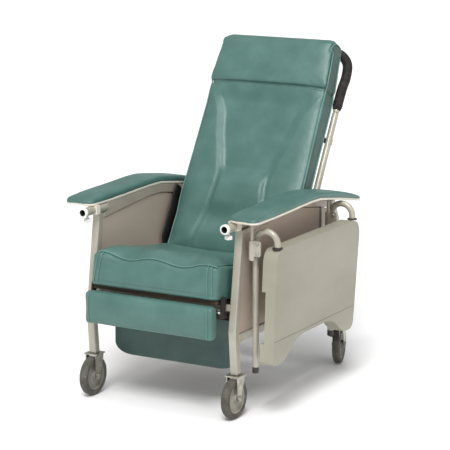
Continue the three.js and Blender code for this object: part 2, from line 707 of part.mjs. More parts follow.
function pedalGeometry() {
  const tongue = outline([
    [-25, 134], [-25, 129], [-66, 124], [-66, 112], [-78, 110], [-84, 148], [-74, 150], [-68, 134],
  ]);
  return alongX(tongue, -16, 16);
}

function addCaster(group, name, x, y, turn, pedal) {
  const caster = new THREE.Group();
  caster.position.set(x, y, 0);
  caster.rotation.z = turn;
  addPart(caster, `caster_fork_${name}`, forkGeometry(), forkSteel);
  addPart(caster, `caster_wheel_${name}`, wheelGeometry(), tyreRubber).position.set(0, TRAIL, WHEEL_R);
  if (pedal) {
    addPart(caster, `brake_pedal_${name}`, pedalGeometry(), darkSteel);
  }
  group.add(caster);
}

// ---- the whole chair ----

const chair = new THREE.Group();
for (const [label, side] of SIDES) {
  addLegs(chair, label, side);
  addRails(chair, label, side);
  addPostAndPanels(chair, label, side);
  addArmrest(chair, label, side);
  addSocket(chair, label, side);
  addReclineLug(chair, label, side);
}
addStorageBracket(chair, 'front', TRAY_ARM_FRONT_Y);
addStorageBracket(chair, 'rear', TRAY_ARM_FRONT_Y + TRAY_ARM_SPACING);

const seat = buildSeat();
addCarriage(seat);
chair.add(seat);
addLegRestPad(chair);
addCalfBoard(chair);
chair.add(buildBack());
chair.add(buildTray());

const REAR_TURN = 16 * DEG;
addCaster(chair, 'front_left', -LEG_X, FRONT_STEM_Y, Math.PI, false);
addCaster(chair, 'front_right', LEG_X, FRONT_STEM_Y, Math.PI, false);
addCaster(chair, 'rear_left', -LEG_X, REAR_STEM_Y, 0, true);
addCaster(chair, 'rear_right', LEG_X, REAR_STEM_Y, REAR_TURN, true);

chair.updateMatrixWorld(true);
const box = new THREE.Box3().setFromObject(chair, true);
const middle = box.getCenter(new THREE.Vector3());
chair.position.set(-middle.x, -middle.y, -box.min.z);

export default chair;
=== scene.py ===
"""A patient recliner chair on casters: its looks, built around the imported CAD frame.

Lengths inside the shape functions are millimetres in one of four layouts: CHAIR (X across, Y back, Z up
from the floor), SEAT and BACK (the same axes, tilted with the seat or the back) and each caster's own.
A layout's matrix takes them to metres in the row frame.
"""

import json
import math

import bmesh
import bpy
from mathutils import Matrix, Vector, noise
from mathutils.bvhtree import BVHTree
from mathutils.kdtree import KDTree


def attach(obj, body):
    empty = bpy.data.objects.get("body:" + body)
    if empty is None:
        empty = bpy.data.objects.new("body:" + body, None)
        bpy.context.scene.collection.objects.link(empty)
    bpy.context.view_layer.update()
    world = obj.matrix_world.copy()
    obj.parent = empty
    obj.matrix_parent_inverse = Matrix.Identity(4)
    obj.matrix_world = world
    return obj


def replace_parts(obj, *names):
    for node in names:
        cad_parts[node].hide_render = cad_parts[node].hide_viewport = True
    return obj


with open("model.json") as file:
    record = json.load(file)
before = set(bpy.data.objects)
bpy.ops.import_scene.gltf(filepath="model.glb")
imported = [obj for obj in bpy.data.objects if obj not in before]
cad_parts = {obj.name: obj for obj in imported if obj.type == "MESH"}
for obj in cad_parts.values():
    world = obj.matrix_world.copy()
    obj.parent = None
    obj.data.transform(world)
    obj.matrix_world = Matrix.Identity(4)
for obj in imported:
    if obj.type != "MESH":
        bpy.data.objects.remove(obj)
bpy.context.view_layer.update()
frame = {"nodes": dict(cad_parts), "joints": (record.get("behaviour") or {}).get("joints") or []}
SIDES = (("left", -1), ("right", 1))

# ---- layouts ----

RECLINE_PIN = (0, 425, 400)
SEAT_TILT = math.radians(8.5)
BACK_LEAN = math.radians(29.4)


def pin_of(joint_name):
    joint = next(j for j in frame["joints"] if j["name"] == joint_name)
    return Vector(joint["pos_m"])


CHAIR = (
    Matrix.Translation(pin_of("back_recline"))
    @ Matrix.Scale(0.001, 4)
    @ Matrix.Translation(-Vector(RECLINE_PIN))
)
SEAT = CHAIR @ Matrix.Translation((0, -50, 374)) @ Matrix.Rotation(-SEAT_TILT, 4, "X")
BACK = CHAIR @ Matrix.Translation((0, 395, 437)) @ Matrix.Rotation(-BACK_LEAN, 4, "X")

# ---- materials ----


def srgb(red, green, blue):
    """A linear colour from 0 to 255 display values."""
    def linear(value):
        value /= 255
        return value / 12.92 if value <= 0.04045 else ((value + 0.055) / 1.055) ** 2.4
    return (linear(red), linear(green), linear(blue), 1)


class Finish:
    """A procedural material under construction: its shader, and helpers that hang patterns on it."""

    def __init__(self, name, metallic=0.0, specular=0.5, coat=0.0, sheen=0.0):
        self.material = bpy.data.materials.new(name)
        self.material.use_nodes = True
        self.tree = self.material.node_tree
        self.shader = self.tree.nodes["Principled BSDF"]
        self.shader.inputs["Metallic"].default_value = metallic
        self.shader.inputs["Specular IOR Level"].default_value = specular
        self.shader.inputs["Coat Weight"].default_value = coat
        self.shader.inputs["Sheen Weight"].default_value = sheen
        self.place = self.tree.nodes.new("ShaderNodeTexCoord").outputs["Object"]
        self.normal = None

    def noise(self, scale, detail=3.0, stretch=(1, 1, 1)):
        mapping = self.tree.nodes.new("ShaderNodeMapping")
        mapping.inputs["Scale"].default_value = stretch
        self.tree.links.new(self.place, mapping.inputs["Vector"])
        pattern = self.tree.nodes.new("ShaderNodeTexNoise")
        pattern.inputs["Scale"].default_value = scale
        pattern.inputs["Detail"].default_value = detail
        self.tree.links.new(mapping.outputs["Vector"], pattern.inputs["Vector"])
        return pattern.outputs["Fac"]

    def cells(self, scale, feature="DISTANCE_TO_EDGE"):
        pattern = self.tree.nodes.new("ShaderNodeTexVoronoi")
        pattern.feature = feature
        pattern.inputs["Scale"].default_value = scale
        self.tree.links.new(self.place, pattern.inputs["Vector"])
        return pattern.outputs["Distance"]

    def ramp(self, source, stops):
        ramp = self.tree.nodes.new("ShaderNodeValToRGB")
        elements = ramp.color_ramp.elements
        for i, (position, colour) in enumerate(stops):
            element = elements[i] if i < 2 else elements.new(position)
            element.position = position
            element.color = colour
        self.tree.links.new(source, ramp.inputs["Fac"])
        return ramp.outputs["Color"]

    def colour(self, source, stops):
        self.tree.links.new(self.ramp(source, stops), self.shader.inputs["Base Color"])
        return self

    def colour_with_marks(self, source, stops, mark_source, mark, start, end):
        """The ramp's colour, shifting to the mark colour where mark_source passes from start to end."""
        base = self.ramp(source, stops)
        share = self.ramp(mark_source, [(start, (0, 0, 0, 1)), (end, (1, 1, 1, 1))])
        mix = self.tree.nodes.new("ShaderNodeMix")
        mix.data_type = "RGBA"
        self.tree.links.new(share, mix.inputs["Factor"])
        self.tree.links.new(base, mix.inputs["A"])
        mix.inputs["B"].default_value = mark
        self.tree.links.new(mix.outputs["Result"], self.shader.inputs["Base Color"])
        return self

    def roughness(self, source, low, high):
        spread = self.tree.nodes.new("ShaderNodeMapRange")
        spread.inputs["To Min"].default_value = low
        spread.inputs["To Max"].default_value = high
        self.tree.links.new(source, spread.inputs["Value"])
        self.tree.links.new(spread.outputs["Result"], self.shader.inputs["Roughness"])
        return self

    def bump(self, source, strength, height):
        bump = self.tree.nodes.new("ShaderNodeBump")
        bump.inputs["Strength"].default_value = strength
        bump.inputs["Distance"].default_value = height
        self.tree.links.new(source, bump.inputs["Height"])
        if self.normal is not None:
            self.tree.links.new(self.normal, bump.inputs["Normal"])
        self.normal = bump.outputs["Normal"]
        self.tree.links.new(self.normal, self.shader.inputs["Normal"])
        return self


def vinyl(name, deep, middle, light):
    """Upholstery vinyl: a fine pebbled grain, faint handling marks and a satin surface."""
    finish = Finish(name, specular=0.45, coat=0.04)
    finish.colour(finish.noise(14, 5), [(0.3, deep), (0.52, middle), (0.72, light)])
    finish.roughness(finish.noise(45, 4), 0.36, 0.5)
    finish.bump(finish.cells(620), 0.35, 0.0004)
    finish.bump(finish.noise(1900, 2), 0.25, 0.0002)
    finish.bump(finish.noise(55, 3), 0.25, 0.0012)
    return finish.material


def painted_steel(name, deep, middle, light):
    """Powder-coated steel: orange peel, slight dulling, and scuffs that show a greyer tone."""
    finish = Finish(name, metallic=0.15, specular=0.5, coat=0.25)
    scuffs = finish.noise(38, 8, (1, 1, 0.25))
    finish.colour_with_marks(
        finish.noise(9, 4), [(0.3, deep), (0.5, middle), (0.7, light)],
        scuffs, srgb(150, 143, 130), 0.66, 0.74)
    finish.roughness(finish.noise(30, 5), 0.28, 0.46)
    finish.bump(finish.noise(850, 2), 0.2, 0.0003)
    return finish.material


def moulded_plastic(name, deep, middle, light, grain=700, gloss=(0.4, 0.55)):
    """Moulded plastic: a fine spark-eroded texture and faint streaks of flow."""
    finish = Finish(name, specular=0.4)
    finish.colour(finish.noise(6, 6, (1, 0.35, 1)), [(0.3, deep), (0.5, middle), (0.72, light)])
    finish.roughness(finish.noise(26, 5), *gloss)
    finish.bump(finish.noise(grain, 3), 0.22, 0.0003)
    return finish.material


def bare_metal(name, deep, light, gloss=(0.25, 0.45)):
    """Plated or turned metal: fine brushing and dull patches."""
    finish = Finish(name, metallic=0.9)
    finish.colour(finish.noise(60, 6), [(0.32, deep), (0.7, light)])
    finish.roughness(finish.noise(120, 5, (1, 1, 0.15)), *gloss)
    finish.bump(finish.noise(500, 2, (1, 1, 0.1)), 0.15, 0.0002)
    return finish.material


def black_steel():
    finish = Finish("black_steel", metallic=0.3, coat=0.15)
    finish.colour_with_marks(
        finish.noise(25, 5), [(0.3, srgb(26, 23, 22)), (0.7, srgb(52, 47, 44))],
        finish.noise(90, 6), srgb(112, 104, 94), 0.68, 0.76)
    finish.roughness(finish.noise(60, 4), 0.35, 0.6)
    finish.bump(finish.noise(900, 2), 0.3, 0.0003)
    return finish.material


def foam_sleeve():
    finish = Finish("grip_foam", specular=0.25)
    finish.colour(finish.noise(70, 5), [(0.3, srgb(24, 21, 22)), (0.7, srgb(54, 48, 48))])
    finish.roughness(finish.noise(90, 3), 0.55, 0.8)
    finish.bump(finish.cells(900), 0.5, 0.0006)
    return finish.material


def tyre_rubber():
    finish = Finish("tyre_rubber", specular=0.3)
    finish.colour_with_marks(
        finish.noise(35, 5), [(0.3, srgb(70, 68, 62)), (0.7, srgb(98, 95, 87))],
        finish.noise(110, 7), srgb(138, 131, 119), 0.62, 0.78)
    finish.roughness(finish.noise(70, 4), 0.6, 0.85)
    finish.bump(finish.noise(600, 3), 0.3, 0.0004)
    return finish.material


def plywood():
    finish = Finish("plywood", specular=0.3)
    finish.colour(finish.noise(7, 8, (1, 12, 12)), [(0.3, srgb(52, 44, 36)), (0.7, srgb(84, 72, 58))])
    finish.roughness(finish.noise(40, 4), 0.6, 0.8)
    finish.bump(finish.noise(160, 4, (0.1, 1, 1)), 0.3, 0.0005)
    return finish.material


TEAL = vinyl("teal_vinyl", srgb(68, 104, 97), srgb(75, 111, 104), srgb(82, 118, 111))
# A lighter copy of the teal vinyl for the welt cords: a painted highlight along them.
TEAL_CORD_PAINTED_HIGHLIGHT = vinyl("teal_welt_painted_highlight", srgb(84, 121, 113), srgb(92, 130, 122), srgb(102, 140, 132))
# A darker copy of the teal vinyl for the cushion sides: painted shade on the sides that face away from the
# light.
TEAL_SIDE_PAINTED_SHADE = vinyl("teal_side_painted_shade", srgb(52, 78, 72), srgb(58, 85, 79), srgb(64, 92, 86))
TEAL_DARK = vinyl("dark_teal_vinyl", srgb(50, 76, 70), srgb(57, 85, 79), srgb(64, 92, 86))
ALMOND = painted_steel("almond_paint", srgb(160, 155, 141), srgb(170, 165, 151), srgb(180, 175, 160))
TAUPE = painted_steel("taupe_paint", srgb(168, 153, 140), srgb(177, 163, 150), srgb(185, 172, 159))
PANEL = moulded_plastic("panel_plastic", srgb(176, 158, 144), srgb(185, 168, 154), srgb(193, 177, 164))
TRAY = moulded_plastic("tray_plastic", srgb(146, 143, 128), srgb(154, 151, 136), srgb(161, 158, 143))
CREAM = moulded_plastic("arm_board_cream", srgb(206, 198, 184), srgb(218, 211, 198), srgb(228, 222, 210))
WHITE = moulded_plastic("white_plastic", srgb(224, 221, 214), srgb(235, 233, 228), srgb(243, 241, 237),
                        gloss=(0.3, 0.42))
FORK = bare_metal("fork_steel", srgb(150, 146, 134), srgb(196, 193, 182), gloss=(0.3, 0.5))
ZINC = bare_metal("zinc_fastener", srgb(140, 140, 138), srgb(205, 205, 200))
BLACK = black_steel()
FOAM = foam_sleeve()
TYRE = tyre_rubber()
HUB = moulded_plastic("hub_plastic", srgb(112, 108, 98), srgb(132, 128, 118), srgb(148, 144, 133))
GROMMET = moulded_plastic("grommet_rubber", srgb(38, 36, 33), srgb(50, 47, 43), srgb(64, 60, 55))
PLY = plywood()

# ---- mesh tools ----


def add_piece(name, bm, layout, material, body, sharp=38):
    bmesh.ops.recalc_face_normals(bm, faces=bm.faces)
    mesh = bpy.data.meshes.new(name)
    bm.to_mesh(mesh)
    bm.free()
    mesh.transform(layout)
    mesh.materials.append(material)
    mesh.shade_smooth()
    mesh.set_sharp_from_angle(angle=math.radians(sharp))
    piece = bpy.data.objects.new(name, mesh)
    bpy.context.scene.collection.objects.link(piece)
    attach(piece, body)
    return piece


def loft(rings, bm=None, closed=False):
    """A skin over rings of points. Its ends are capped unless it is closed into a loop."""
    bm = bm or bmesh.new()
    made = [[bm.verts.new(point) for point in ring] for ring in rings]
    count = len(made)
    for i in range(count if closed else count - 1):
        first, second = made[i], made[(i + 1) % count]
        for j in range(len(first)):
            k = (j + 1) % len(first)
            bm.faces.new((first[j], first[k], second[k], second[j]))
    if not closed:
        bm.faces.new(made[0][::-1])
        bm.faces.new(made[-1])
    return bm


def tube(path, radius, sides=20, bm=None):
    """A round tube along a path, with rounded ends. The radius is one number, or one for each point."""
    points = [Vector(p) for p in path]
    radii = list(radius) if hasattr(radius, "__len__") else [radius] * len(points)
    first = (points[1] - points[0]).normalized()
    last = (points[-1] - points[-2]).normalized()
    blunt = 0.25
    points = [points[0], points[0] + first * radii[0] * blunt, *points[1:-1],
              points[-1] - last * radii[-1] * blunt, points[-1]]
    radii = [radii[0] * (1 - blunt), radii[0], *radii[1:-1], radii[-1], radii[-1] * (1 - blunt)]
    side = first.orthogonal().normalized()
    rings = []
    for i, point in enumerate(points):
        ahead = points[min(i + 1, len(points) - 1)] - points[max(i - 1, 0)]
        ahead.normalize()
        side = (side - ahead * side.dot(ahead)).normalized()
        up = ahead.cross(side)
        rings.append([
            point + (side * math.cos(a) + up * math.sin(a)) * radii[i]
            for a in (2 * math.pi * k / sides for k in range(sides))])
    return loft(rings, bm)


AXES = {
    "x": Matrix(((0, 0, 1), (1, 0, 0), (0, 1, 0))).to_4x4(),
    "y": Matrix(((0, 1, 0), (0, 0, 1), (1, 0, 0))).to_4x4(),
    "z": Matrix.Identity(4),
}


def turned(profile, axis, centre, segments=40, bm=None):
    """A turned solid: a closed profile of (radius, distance along the axis) round an axis through centre."""
    place = Matrix.Translation(centre) @ AXES[axis]
    rings = []
    for k in range(segments):
        angle = 2 * math.pi * k / segments
        rings.append([place @ Vector((r * math.cos(angle), r * math.sin(angle), h)) for r, h in profile])
    return loft(rings, bm, closed=True)


def plug(radius, low, high, axis, centre, edge=1.0, bm=None, segments=32):
    """A solid disc or pin with rounded edges."""
    profile = [(0.01, low), (radius - edge, low), (radius, low + edge),
               (radius, high - edge), (radius - edge, high), (0.01, high)]
    return turned(profile, axis, centre, segments, bm)


def hex_head(size, low, high, axis, centre, bm=None):
    return plug(size, low, high, axis, centre, edge=size * 0.12, bm=bm, segments=6)


def slab(outline, low, high, axis, edge, steps=3, bm=None):
    """A flat panel: an outline drawn in the two axes after `axis`, with rounded edges."""
    panel = bmesh.new()
    place = AXES[axis]
    rings = [[place @ Vector((a, b, h)) for a, b in outline] for h in (low, high)]
    loft(rings, panel)
    if edge:
        rims = [e for e in panel.edges if len(e.link_faces) == 2 and e.calc_face_angle(0) > math.radians(35)]
        bmesh.ops.bevel(panel, geom=rims, offset=edge, segments=steps, profile=0.5, affect="EDGES",
                        clamp_overlap=True)
    if bm is None:
        return panel
    joined = bpy.data.meshes.new("joined")
    panel.to_mesh(joined)
    panel.free()
    bm.from_mesh(joined)
    bpy.data.meshes.remove(joined)
    return bm


def box(low, high, edge, bm=None):
    outline = [(low[0], low[1]), (high[0], low[1]), (high[0], high[1]), (low[0], high[1])]
    return slab(outline, low[2], high[2], "z", edge, 2, bm)


def drawn(start, *steps, density=6):
    """Points of an outline: a step of 2 numbers is a straight line, one of 4 is a quadratic curve."""
    points = [start]
    for step in steps:
        if len(step) == 2:
            points.append(step)
            continue
        a, b, c = points[-1], step[:2], step[2:]
        for i in range(1, density + 1):
            t = i / density
            points.append(tuple((1 - t) ** 2 * p + 2 * t * (1 - t) * q + t * t * r
                                for p, q, r in zip(a, b, c)))
    return points


def eased(points, count):
    """A smooth line of `count` points through the given ones."""
    points = [Vector(p) for p in points]
    padded = [2 * points[0] - points[1], *points, 2 * points[-1] - points[-2]]
    spans = len(points) - 1
    line = []
    for i in range(count):
        place = i / (count - 1) * spans
        k = min(int(place), spans - 1)
        t = place - k
        a, b, c, d = padded[k:k + 4]
        line.append(0.5 * ((2 * b) + (c - a) * t + (2 * a - 5 * b + 4 * c - d) * t * t
                           + (3 * b - a - 3 * c + d) * t ** 3))
    return line


def between(table, at):
    """A value from rows of (place, value), straight between them and level beyond the ends."""
    if at <= table[0][0]:
        return table[0][1]
    for (a0, b0), (a1, b1) in zip(table, table[1:]):
        if at <= a1:
            return b0 + (b1 - b0) * (at - a0) / (a1 - a0)
    return table[-1][1]


def hump(distance, width):
    """1 at no distance, falling smoothly to 0 at the width."""
    share = min(abs(distance) / width, 1)
    return (1 - share * share) ** 2


def dress(nodes, material, edge=0.0, steps=3):
    """A CAD node that stays: its own material, and edges rounded by modifiers."""
    for name in nodes:
        node = frame["nodes"][name]
        node.material_slots[0].material = material
        if edge:
            weld = node.modifiers.new("Weld", "WELD")
            weld.merge_threshold = 0.00005
            flat = node.modifiers.new("Flat faces", "DECIMATE")
            flat.decimate_type = "DISSOLVE"
            flat.angle_limit = math.radians(1)
            round_off = node.modifiers.new("Rounded edges", "BEVEL")
            round_off.width = edge / 1000
            round_off.segments = steps
            round_off.limit_method = "ANGLE"
            round_off.angle_limit = math.radians(30)
            round_off.harden_normals = False


# ---- padding: each soft solid is filled like a cushion, then shaped and sewn ----


def applied(piece):
    """The piece's mesh with its modifiers in it."""
    graph = bpy.context.evaluated_depsgraph_get()
    mesh = bpy.data.meshes.new_from_object(piece.evaluated_get(graph))
    piece.modifiers.clear()
    piece.data = mesh
    return mesh


def puffed(node_names, layout, voxel, shrink, cap, free, held, pressure=4.0):
    """A padded copy of soft CAD nodes: one mesh in the layout's millimetres, fitted to their own size.

    free is the share of its swelling that the stitching lets through along each of the layout's axes.
    held says, for a point in the layout, whether the cover rests on something there and can't move."""
    back_to_layout = layout.inverted()
    solids = bmesh.new()
    for node_name in node_names:
        solids.from_mesh(frame["nodes"][node_name].data)
    size = [back_to_layout @ v.co for v in solids.verts]
    lows = [min(p[i] for p in size) for i in range(3)]
    highs = [max(p[i] for p in size) for i in range(3)]
    start = bpy.data.meshes.new("padding")
    solids.to_mesh(start)
    solids.free()

    piece = bpy.data.objects.new("padding", start)
    bpy.context.scene.collection.objects.link(piece)
    remesh = piece.modifiers.new("Remesh", "REMESH")
    remesh.mode = "VOXEL"
    remesh.voxel_size = voxel / 1000
    mesh = applied(piece)
    normals = [v.normal.copy() for v in mesh.vertices]
    for vertex, normal in zip(mesh.vertices, normals):
        if not held(back_to_layout @ vertex.co):
            vertex.co -= normal * shrink / 1000
    relax(mesh, 2)
    simulate(piece, cap, back_to_layout, held, pressure, free)
    subdivide = piece.modifiers.new("Subdivide", "SUBSURF")
    subdivide.levels = 1
    mesh = applied(piece)
    bpy.data.objects.remove(piece)
    mesh.transform(back_to_layout)
    fit(mesh, lows, highs)
    return mesh


def relax(mesh, steps):
    """Smooths a mesh's vertices, one small step at a time."""
    bm = bmesh.new()
    bm.from_mesh(mesh)
    for _ in range(steps):
        bmesh.ops.smooth_vert(bm, verts=bm.verts, factor=0.5,
                              use_axis_x=True, use_axis_y=True, use_axis_z=True)
    bm.to_mesh(mesh)
    bm.free()


def simulate(piece, cap, back_to_layout, held, pressure, free):
    """Fills the cover under pressure, and holds each point within cap millimetres of where it began."""
    start = [v.co.copy() for v in piece.data.vertices]
    cloth = piece.modifiers.new("Cloth", "CLOTH")
    settings = cloth.settings
    settings.quality = 5
    settings.mass = 0.25
    settings.tension_stiffness = 12
    settings.compression_stiffness = 12
    settings.shear_stiffness = 6
    settings.bending_stiffness = 0.4
    settings.use_pressure = True
    settings.uniform_pressure_force = pressure
    settings.effector_weights.gravity = 0
    group = piece.vertex_groups.new(name="held")
    group.add([v.index for v in piece.data.vertices if held(back_to_layout @ v.co)], 1.0, "REPLACE")
    settings.vertex_group_mass = "held"
    cloth.point_cache.frame_start = 1
    cloth.point_cache.frame_end = 20
    for frame_number in range(1, 21):
        bpy.context.scene.frame_set(frame_number)
    mesh = applied(piece)
    turn = back_to_layout.to_3x3()
    turn_back = turn.inverted()
    for vertex, origin in zip(mesh.vertices, start):
        moved = turn @ (vertex.co - origin)
        if moved.length > 1e-6:
            moved *= cap * math.tanh(moved.length / cap) / moved.length
            allowed = Vector(m * share for m, share in zip(moved, free))
            vertex.co = origin + turn_back @ allowed
    relax(mesh, 5)
    bpy.context.scene.frame_set(1)


def fit(mesh, lows, highs):
    """Stretches the mesh so that its box is the given one."""
    for i in range(3):
        values = [v.co[i] for v in mesh.vertices]
        low, high = min(values), max(values)
        scale = (highs[i] - lows[i]) / (high - low)
        for vertex in mesh.vertices:
            vertex.co[i] = lows[i] + (vertex.co[i] - low) * scale


def sculpt(mesh, move):
    """Moves each vertex by what move(point) says, in the layout's millimetres."""
    for vertex in mesh.vertices:
        vertex.co += Vector(move(vertex.co))


def wrinkle(point, size, seed):
    """Smooth noise between about -1 and 1, the same on each run."""
    return noise.noise(Vector(point) / size + Vector((seed, seed * 2, -seed)))


def surface_of(mesh):
    return BVHTree.FromPolygons([v.co for v in mesh.vertices], [tuple(p.vertices) for p in mesh.polygons])


def traced(surface, starts, direction_of):
    """Where rays from the start points first meet the surface."""
    line = []
    for start in starts:
        hit = surface.ray_cast(Vector(start), Vector(direction_of(Vector(start))).normalized())
        if hit[0] is not None:
            line.append(hit[0])
    return line


def pinch(mesh, line, width, depth):
    """Pulls the cover in beside a seam."""
    tree = KDTree(len(line))
    for i, point in enumerate(line):
        tree.insert(point, i)
    tree.balance()
    normals = [v.normal.copy() for v in mesh.vertices]
    for vertex, normal in zip(mesh.vertices, normals):
        distance = tree.find(vertex.co)[2]
        if distance < width:
            vertex.co -= normal * depth * hump(distance, width)


def add_padding(name, mesh, layout, body, node_names, shaded_sides=False):
    """The finished cushion. Its side strips can get a darker copy of the teal vinyl, which paints the shade
    on the sides.
    """
    bm = bmesh.new()
    bm.from_mesh(mesh)
    bpy.data.meshes.remove(mesh)
    for face in bm.faces:
        # Faces turned sideways take the darker copy, which paints the shade on the cushion's sides.
        face.material_index = int(shaded_sides and abs(face.normal.x) > 0.72)
    piece = add_piece(name, bm, layout, TEAL, body, sharp=80)
    if shaded_sides:
        piece.data.materials.append(TEAL_SIDE_PAINTED_SHADE)
    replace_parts(piece, *node_names)
    return piece


def add_welt(name, line, radius, layout, body, count=None):
    """A covered cord sewn into an edge, along points on the cover, in a lighter teal that paints a highlight
    along it.
    """
    path = eased(line, count or len(line))
    return add_piece(name, tube(path, radius, 10), layout, TEAL_CORD_PAINTED_HIGHLIGHT, body)


# ---- seat cushion ----

SEAT_WAVES = [(-229, 7), (-189, 0), (-96, 15), (-20, 0), (97, 15), (166, 1), (229, 6)]


def seat_wave(x):
    """How far the welt dips below the seat's front top edge, across the seat."""
    for (x0, dip0), (x1, dip1) in zip(SEAT_WAVES, SEAT_WAVES[1:]):
        if x <= x1:
            share = min(max((x - x0) / (x1 - x0), 0), 1)
            return dip0 + (dip1 - dip0) * (1 - math.cos(math.pi * share)) / 2
    return SEAT_WAVES[-1][1]


def seat_shape(point):
    x, along, up = point
    if up < 12:
        return (0, 0, 0)
    top = min((up - 12) / 90, 1)
    near_front = hump(max(along + 15, 0), 130)
    dip = seat_wave(x) * near_front * top
    hollow = 11 * hump(x, 200) * hump(along - 260, 180) * max(up - 70, 0) / 56
    crest = -4 * hump(along - 60, 60) * top * (1 - seat_wave(x) / 15)
    ripple = 0.9 * wrinkle((x, along, up), 46, 3) * top
    return (0, 0, -dip - hollow - crest + ripple)


def build_seat():
    mesh = puffed(["seat_cushion"], SEAT, 6, 3, 24, (0.1, 0.35, 1), lambda p: p.z < 6)
    sculpt(mesh, seat_shape)
    surface = surface_of(mesh)
    fronts = [(x, -110, 126 - seat_wave(x) + 96) for x in range(-216, 217, 6)]
    welt = traced(surface, fronts, lambda start: (0, 99, -99))
    pinch(mesh, welt, 9, 2.4)
    low_seam = traced(surface, [(x, -60, 14) for x in range(-216, 217, 6)], lambda start: (0, 1, 0))
    pinch(mesh, low_seam, 7, 1.8)
    for label, side in SIDES:
        edge = traced(surface, [(side * 330, y, 216) for y in range(4, 396, 8)],
                      lambda start: (-side * 104, 0, -96))
        pinch(mesh, edge, 8, 1.8)
        add_welt(f"seat_side_welt_{label}", edge, 2.4, SEAT, "frame")
        for part, x in (("outer", 203), ("inner", 189)):
            corner = traced(surface, [(side * (x + 0.10 * (100 - up)), -70, up) for up in range(12, 112, 5)],
                            lambda start: (0, 1, 0))
            pinch(mesh, corner, 7, 1.5)
            add_welt(f"seat_corner_{part}_welt_{label}", corner, 1.5, SEAT, "frame")
    add_padding("seat_padding", mesh, SEAT, "frame", ["seat_cushion"])
    add_welt("seat_front_welt", welt, 2.6, SEAT, "frame")


# ---- back cushion and headrest ----

BACK_SEAM = 567
BACK_TOP = 750
BACK_DEPTH = 75
HEADREST_BULGE = 16
ROLL_FRONT = 56
ROLL_REAR = 24
PANEL_DEPTH = 10.5
PANEL_BLEND = 26
LUMBAR_RISE = 11
LUMBAR_TOP = 208
LUMBAR_FOOT = 96
WAIST_DEPTH = 8
WAIST_UP = 92
CREASE_DEPTH = 3.2
CORNER_PUFF = 3.5
SHOULDER_DROP = 12
# Half the width of the sunk middle panel, by height.
CREASE = [(-30, 146), (20, 134), (70, 122), (130, 106), (213, 96), (250, 97), (333, 118), (380, 134),
          (463, 152), (500, 172), (567, 214)]


def eased_step(value):
    value = min(max(value, 0), 1)
    return value * value * (3 - 2 * value)


def back_face(x, up):
    """How far the front of the back cushion sits behind its own plane: the middle panel is sunk between
    two side bolsters, and swells into a lumbar roll at its narrowest place."""
    beside = abs(x) - between(CREASE, up)
    inside = eased_step(-beside / PANEL_BLEND)
    panel = PANEL_DEPTH * inside * eased_step((BACK_SEAM - 6 - up) / 60) * eased_step((up - 236) / 40)
    roll_rise = 1 - eased_step((up - LUMBAR_TOP) / 48)
    roll_fall = eased_step((up - LUMBAR_FOOT) / 96)
    lumbar = -LUMBAR_RISE * roll_rise * roll_fall * (0.3 + 0.7 * inside)
    waist = WAIST_DEPTH * hump(up - WAIST_UP, 58) * (0.3 + 0.7 * inside)
    crease = CREASE_DEPTH * hump(beside + 4, 15) * eased_step((BACK_SEAM - up) / 50)
    corner = -CORNER_PUFF * hump(beside + 6, 60) * hump(up - 535, 50)
    return panel + lumbar + waist + crease + corner


def rolled(depth, up):
    """Where a point of the headrest goes as its top is rolled over towards the rear."""
    front = (ROLL_FRONT, ROLL_FRONT - HEADREST_BULGE, -1)
    rear = (ROLL_REAR, BACK_DEPTH - ROLL_REAR, 1)
    for radius, centre, way in (front, rear):
        beyond = (depth - centre) * way
        above = up - (BACK_TOP - radius)
        reach = math.hypot(beyond, above)
        if beyond > 0 and above > 0 and reach > radius:
            return centre + way * beyond * radius / reach, BACK_TOP - radius + above * radius / reach
    return depth, up


def back_shape(point):
    x, depth, up = point
    front = min(max((40 - depth) / 34, 0), 1)
    ripple = 0.8 * wrinkle((x, up, 0), 60, 7) + 0.3 * wrinkle((x, up, 9), 22, 2)
    new_depth, new_up = rolled(depth, up)
    if up < BACK_SEAM:
        new_depth += back_face(x, up) * front
    new_depth += ripple * front
    shoulder = SHOULDER_DROP * eased_step((abs(x) - 172) / 42) ** 2 * eased_step((up - 700) / 48)
    return (0, new_depth - depth, new_up - up - shoulder)


def back_half_width(up):
    return between([(-50, 226), (260, 227), (490, 220), (567, 221), (670, 215), (750, 207)], up)


def build_back_cushion():
    """The back and the headrest are one cover, drawn in along the seam between them."""
    mesh = puffed(["back_cushion", "headrest"], BACK, 6, 2.5, 22, (0.08, 0.6, 0.15), lambda p: p.y > 66)
    sculpt(mesh, back_shape)
    surface = surface_of(mesh)
    seam = traced(surface, [(x, -80, BACK_SEAM) for x in range(-224, 225, 4)], lambda start: (0, 1, 0))
    for side in (-1, 1):
        seam += traced(surface, [(side * 300, depth, BACK_SEAM) for depth in range(4, 74, 4)],
                       lambda start: (-side, 0, 0))
    pinch(mesh, seam, 9, 3.4)
    for label, side in SIDES:
        for part, depth, aim in (("front", -70, 74), ("rear", 140, -76)):
            starts = [(side * (back_half_width(up) + 60), depth, up) for up in range(-16, 700, 7)]
            edge = traced(surface, starts, lambda start: (-side * 60, aim, 0))
            if part == "front":
                edge += rolled_edge(surface, side)
            pinch(mesh, edge, 8, 1.8)
            add_welt(f"back_{part}_welt_{label}", edge, 2.3, BACK, "back")
    add_padding("back_padding", mesh, BACK, "back", ["back_cushion", "headrest"], shaded_sides=True)


def rolled_edge(surface, side):
    """The side edge of the headrest's rolled top, from its front to the rear."""
    centre = Vector((side * 150, ROLL_FRONT - HEADREST_BULGE, BACK_TOP - ROLL_FRONT))
    starts = []
    for step in range(1, 15):
        angle = math.radians(step * 7.5)
        starts.append((side * 320, centre.y - 140 * math.cos(angle), centre.z + 140 * math.sin(angle)))
    return traced(surface, starts, lambda start: centre - start)


# ---- leg rest, calf board and armrest pads ----


